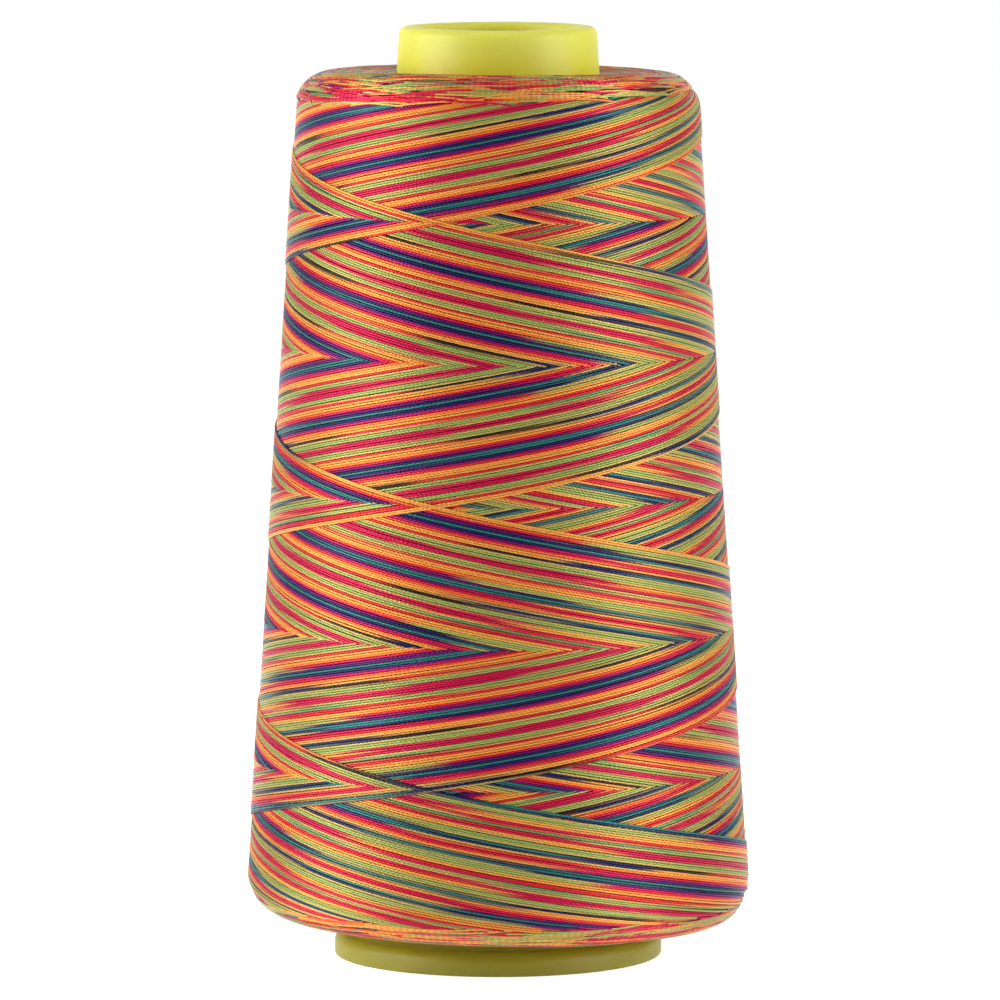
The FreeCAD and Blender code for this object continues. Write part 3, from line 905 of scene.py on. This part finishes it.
def plastic_material(colours):
    """Translucent moulded plastic with a satin skin, with painted light at the rim of the nose and painted
    shade at the base ring
    """
    material, nodes, shader = new_material("yellow_plastic", {
        "Specular IOR Level": 0.35,
        "Subsurface Weight": 0.85,
        "Subsurface Radius": (1.0, 0.92, 0.12),
        "Subsurface Scale": 6.0 * MM,
        "IOR": 1.49,
    })
    place = nodes.node("ShaderNodeTexCoord").outputs["Object"]

    def noise(scale):
        """Soft spots, finer as the scale grows"""
        made = nodes.node("ShaderNodeTexNoise", {"Vector": place, "Scale": scale, "Detail": 2.0})
        return Field(nodes, made.outputs[0])

    cloud, grain = noise(CLOUD_SCALE), noise(GRAIN_SCALE)
    height = Field(nodes, nodes.node("ShaderNodeSeparateXYZ", {"Vector": place}).outputs["Z"])
    height = height + (cloud - 0.5) * CLOUD_SHIFT
    # Painted shade: darker plastic towards the base ring
    ring_shade = nodes.smooth(height, RING_SHADE_START, RING_SHADE_FULL)
    # Painted light: paler plastic at the rim of the nose
    deep = nodes.smooth(height, DEEP_START, DEEP_FULL)
    nose = nodes.mix(deep, linear(colours.plastic), linear(colours.deep_plastic))
    nodes.feed(shader.inputs["Base Color"], nodes.mix(ring_shade, nose, linear(colours.shaded_ring_plastic)))
    nodes.feed(shader.inputs["Roughness"], PLASTIC_ROUGHNESS + grain * GRAIN_ROUGHNESS)
    bump = nodes.node("ShaderNodeBump", {"Height": grain, "Strength": 0.08, "Distance": 0.05 * MM})
    nodes.feed(shader.inputs["Normal"], bump.outputs[0])
    return material


# Turned pieces

def rounded(corners, steps):
    """A closed outline of (radius, height, rounding) corners with its corners rounded"""
    outline = []
    for index, (radius, height, size) in enumerate(corners):
        here = Vector((radius, height))
        if size <= 0:
            outline.append(here)
            continue
        back = (Vector(corners[index - 1][:2]) - here).normalized()
        ahead = (Vector(corners[(index + 1) % len(corners)][:2]) - here).normalized()
        bend = math.pi - back.angle(ahead)
        reach = size * math.tan(bend / 2)
        centre = here + (back + ahead).normalized() * (size / math.cos(bend / 2))
        first, last = here + back * reach - centre, here + ahead * reach - centre
        for step in range(steps + 1):
            outline.append(centre + first.lerp(last, step / steps).normalized() * size)
    return outline


def turned(name, outline, material, segments=128):
    """Turns a closed outline round the Z axis"""
    mesh = bpy.data.meshes.new(name)
    shape = bmesh.new()
    turns = [TURN * segment / segments for segment in range(segments)]
    rings = []
    for radius, height in outline:
        places = [(radius * math.sin(turn), -radius * math.cos(turn), height) for turn in turns]
        rings.append([shape.verts.new(place) for place in places])
    for ring, above in zip(rings, rings[1:] + rings[:1]):
        for here in range(segments):
            beside = (here + 1) % segments
            shape.faces.new((ring[here], ring[beside], above[beside], above[here]))
    bmesh.ops.recalc_face_normals(shape, faces=shape.faces)
    for face in shape.faces:
        face.smooth = True
    shape.to_mesh(mesh)
    shape.free()
    mesh.materials.append(material)
    made = bpy.data.objects.new(name, mesh)
    bpy.context.scene.collection.objects.link(made)
    return made


# Operators

# How deep under the package's skin its inner layers begin, and the room between them and the cone
INNER_DEPTH, SEAT_GAP = 0.62 * MM, 0.1 * MM

# Steps of a rounding, on the cone and on the inner layers
CONE_STEPS, INNER_STEPS = 6, 10


def material_of(name, maker, colours):
    """The material of a name, made if it isn't there yet"""
    return bpy.data.materials.get(name) or maker(colours)


def cone_radius(cone, height):
    """Outside radius of the cone's wall at a height"""
    bore_end = cone.height - cone.bore_length
    return cone.bore_radius + cone.lip + cone.wall + math.tan(cone.taper) * (bore_end - height)


def package_radius(package, height):
    """Radius of the package's side at a height"""
    return package.base_radius - math.tan(package.taper) * height


class THREADCONE_OT_core(bpy.types.Operator):
    """Mould the hollow plastic cone"""
    bl_idname = "thread_cone.core"
    bl_label = "Cone"

    def execute(self, context):
        settings = context.scene.thread_cone
        cone = settings.cone
        bore_end = cone.height - cone.bore_length
        outline = rounded([
            (cone_radius(cone, 0.0) - cone.wall, 0.0, cone.base_edge),
            (cone.ring_radius, 0.0, cone.ring_low_edge),
            (cone.ring_radius, cone.ring_height, cone.ring_high_edge),
            (cone_radius(cone, cone.ring_height), cone.ring_height, cone.ring_corner),
            (cone_radius(cone, cone.height), cone.height, cone.rim_outer_edge),
            (cone.bore_radius, cone.height, cone.rim_inner_edge),
            (cone.bore_radius, bore_end, cone.bore_edge),
            (cone.bore_radius + cone.lip, bore_end - cone.lip, cone.lip_corner),
        ], CONE_STEPS)
        material = material_of("yellow_plastic", plastic_material, settings.colours)
        core = turned("plastic_cone", outline, material)
        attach(core, "root")
        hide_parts("cone_core")
        return {"FINISHED"}


class THREADCONE_OT_under(bpy.types.Operator):
    """Fill the package with its inner layers"""
    bl_idname = "thread_cone.under"
    bl_label = "Inner layers"

    def execute(self, context):
        settings = context.scene.thread_cone
        package, cone = settings.package, settings.cone
        top, bottom = package.top - INNER_DEPTH, package.bottom + INNER_DEPTH
        outline = rounded([
            (cone_radius(cone, bottom) + SEAT_GAP, bottom, 0.0),
            (package_radius(package, bottom) - INNER_DEPTH, bottom, package.bottom_round - INNER_DEPTH),
            (package_radius(package, top) - INNER_DEPTH, top, package.top_round - INNER_DEPTH),
            (cone_radius(cone, top) + SEAT_GAP, top, 0.0),
        ], INNER_STEPS)
        material = material_of("thread_in_shade", under_material, settings.colours)
        under = turned("inner_layers", outline, material)
        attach(under, "root")
        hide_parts("thread_pack")
        return {"FINISHED"}


class THREADCONE_OT_winding(bpy.types.Operator):
    """Wind the outer layer, rising and falling passes crossing each other"""
    bl_idname = "thread_cone.winding"
    bl_label = "Outer layer"

    def execute(self, context):
        settings = context.scene.thread_cone
        material = material_of("variegated_thread", thread_material, settings.colours)
        tree = winding_tree(settings.package)
        for label, way in (("rising", 1), ("falling", -1)):
            phase, middle = DYE_PLACES[way]
            for part, first in zip("ab", FIRST_ROWS[way]):
                piece = tree.piece(f"{label}_thread_{part}", material, {
                    "Direction": float(way),
                    "First Row": first,
                    "Dye Phase": phase,
                    "Dye Middle": math.radians(middle),
                })
                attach(piece, "root")
                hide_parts("outer_winding")
        return {"FINISHED"}


class THREADCONE_OT_ends(bpy.types.Operator):
    """Lay the turns that show at both ends of the package"""
    bl_idname = "thread_cone.ends"
    bl_label = "End turns"

    def execute(self, context):
        settings = context.scene.thread_cone
        package, ends = settings.package, settings.ends
        material = material_of("variegated_thread", thread_material, settings.colours)
        tree = end_turns_tree(package, ends)
        rise = math.sin(package.taper)
        side_top = package.top - package.top_round * (1 - rise)
        side_bottom = package.bottom + package.bottom_round * (1 + rise)
        upper = {
            "Direction": 1.0,
            "Start": side_top + ends.upper_start,
            "Start Lean": ends.start_lean,
            "Rings": int(ends.upper_reach / ends.ring_spacing),
            "Front Heap": ends.front_heap,
            "Seed": package.seed + UPPER_SEED,
        }
        lower = {
            "Direction": -1.0,
            "Start": side_bottom - ends.lower_start,
            "Rings": int(ends.lower_reach / ends.ring_spacing),
            "Seed": package.seed + LOWER_SEED,
        }
        for name, changes in (("upper_end_turns", upper), ("lower_end_turns", lower)):
            piece = tree.piece(name, material, changes)
            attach(piece, "root")
            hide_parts("thread_pack")
        return {"FINISHED"}


# Stage

WHITE = (1.0, 1.0, 1.0, 1.0)

# Strength of the world where it lights the object, and, in gloss, of its darker part on the camera's side
WORLD_LIGHT, FRONT_GLOSS = 0.22, 0.02

# How far a direction points backwards where the world's brighter part begins and where it is full
BEHIND_START, BEHIND_FULL = 0.5, 0.98

# Floor: radius, sides, grey, and the light it shows to the camera and in gloss
FLOOR_RADIUS, FLOOR_SIDES, FLOOR_GREY, FLOOR_GLOW = 0.9, 96, (0.9, 0.9, 0.9, 1.0), 0.78

# Lamps: place, size and power, and the point that they face
LAMPS = {
    "left_box": ((-0.58, -0.155, 0.16), (0.5, 0.6), 5.9),
    "right_box": ((0.565, -0.205, 0.16), (0.4, 0.6), 4.3),
    "top_box": ((0.0, 0.1, 0.7), (0.4, 0.4), 0.8),
}
LAMP_TARGET = (0.0, 0.0, 0.06)

# Camera: place, how far it looks down in radians, focal length, sensor and shift
CAMERA_PLACE, CAMERA_PITCH = (0.0, -1.0947, 0.17203), 0.105186
FOCAL_LENGTH, SENSOR_WIDTH, CAMERA_SHIFT = 320.58, 36.0, 0.002


def area_light(name, place, size, power):
    """A rectangular lamp that faces the part"""
    lamp = bpy.data.lights.new(name, "AREA")
    lamp.shape = "RECTANGLE"
    lamp.size, lamp.size_y = size
    lamp.energy = power
    made = bpy.data.objects.new(name, lamp)
    made.location = place
    made.rotation_euler = (Vector(LAMP_TARGET) - Vector(place)).to_track_quat("-Z", "Y").to_euler()
    bpy.context.scene.collection.objects.link(made)


def shown_directly(graph):
    """1 for rays from the camera and in gloss and glass, 0 for the rays that light things"""
    path = graph.node("ShaderNodeLightPath").outputs
    seen = graph.math("MAXIMUM", path["Is Camera Ray"], path["Is Glossy Ray"])
    return graph.math("MAXIMUM", seen, path["Is Transmission Ray"])


class THREADCONE_OT_stage(bpy.types.Operator):
    """Set the floor, the lights and the camera"""
    bl_idname = "thread_cone.stage"
    bl_label = "Stage"

    def execute(self, context):
        scene = context.scene
        scene.view_settings.view_transform = "Standard"

        floor_mesh = bpy.data.meshes.new("floor")
        disc = bmesh.new()
        bmesh.ops.create_circle(disc, cap_ends=True, segments=FLOOR_SIDES, radius=FLOOR_RADIUS)
        disc.to_mesh(floor_mesh)
        disc.free()
        floor = bpy.data.objects.new("floor", floor_mesh)
        scene.collection.objects.link(floor)
        material, nodes, shader = new_material("pale_floor", {
            "Base Color": FLOOR_GREY,
            "Roughness": 0.9,
            "Specular IOR Level": 0.1,
            "Emission Color": WHITE,
        })
        nodes.feed(shader.inputs["Emission Strength"], shown_directly(nodes) * FLOOR_GLOW)
        floor_mesh.materials.append(material)

        world = bpy.data.worlds.new("studio")
        world.use_nodes = True
        world.node_tree.nodes.clear()
        nodes = Graph(world.node_tree)
        direction = nodes.node("ShaderNodeTexCoord").outputs["Generated"]
        parts = nodes.node("ShaderNodeSeparateXYZ", {"Vector": direction})
        behind = nodes.smooth(parts.outputs["Y"], BEHIND_START, BEHIND_FULL)
        seen = Field(nodes, nodes.node("ShaderNodeLightPath").outputs["Is Camera Ray"])
        reflected = nodes.pick(seen, 1.0, FRONT_GLOSS + (1.0 - FRONT_GLOSS) * behind)
        strength = nodes.pick(shown_directly(nodes), reflected, WORLD_LIGHT)
        sky = nodes.node("ShaderNodeBackground", {"Color": WHITE, "Strength": strength})
        nodes.node("ShaderNodeOutputWorld", {"Surface": sky.outputs[0]})
        scene.world = world

        for name, (place, size, power) in LAMPS.items():
            area_light(name, place, size, power)

        lens = bpy.data.cameras.new("camera")
        lens.sensor_width = SENSOR_WIDTH
        lens.lens = FOCAL_LENGTH
        lens.shift_x = CAMERA_SHIFT
        camera = bpy.data.objects.new("camera", lens)
        camera.location = CAMERA_PLACE
        camera.rotation_euler = (math.pi / 2 - CAMERA_PITCH, 0.0, 0.0)
        scene.collection.objects.link(camera)
        scene.camera = camera
        return {"FINISHED"}


# Panel and registration

class THREADCONE_PT_panel(bpy.types.Panel):
    """Buttons for the pieces of the thread cone"""
    bl_idname = "THREADCONE_PT_panel"
    bl_label = "Thread Cone"
    bl_space_type = "VIEW_3D"
    bl_region_type = "UI"
    bl_category = "Thread Cone"

    def draw(self, context):
        settings = context.scene.thread_cone
        for operator in OPERATORS:
            self.layout.operator(operator.bl_idname)
        for group in (settings.package, settings.ends, settings.cone, settings.colours):
            box = self.layout.box()
            for name in group.__annotations__:
                box.prop(group, name)


OPERATORS = (
    THREADCONE_OT_stage,
    THREADCONE_OT_core,
    THREADCONE_OT_under,
    THREADCONE_OT_winding,
    THREADCONE_OT_ends,
)
CLASSES = (PackageSizes, EndSizes, ConeSizes, Colours, ThreadConeSettings, *OPERATORS, THREADCONE_PT_panel)


def register():
    for each in CLASSES:
        bpy.utils.register_class(each)
    bpy.types.Scene.thread_cone = PointerProperty(type=ThreadConeSettings)


def unregister():
    del bpy.types.Scene.thread_cone
    for each in reversed(CLASSES):
        bpy.utils.unregister_class(each)


def main():
    """Build the thread cone"""
    register()
    bpy.ops.thread_cone.stage()
    bpy.ops.thread_cone.core()
    bpy.ops.thread_cone.under()
    bpy.ops.thread_cone.winding()
    bpy.ops.thread_cone.ends()


if __name__ == "__main__":
    main()
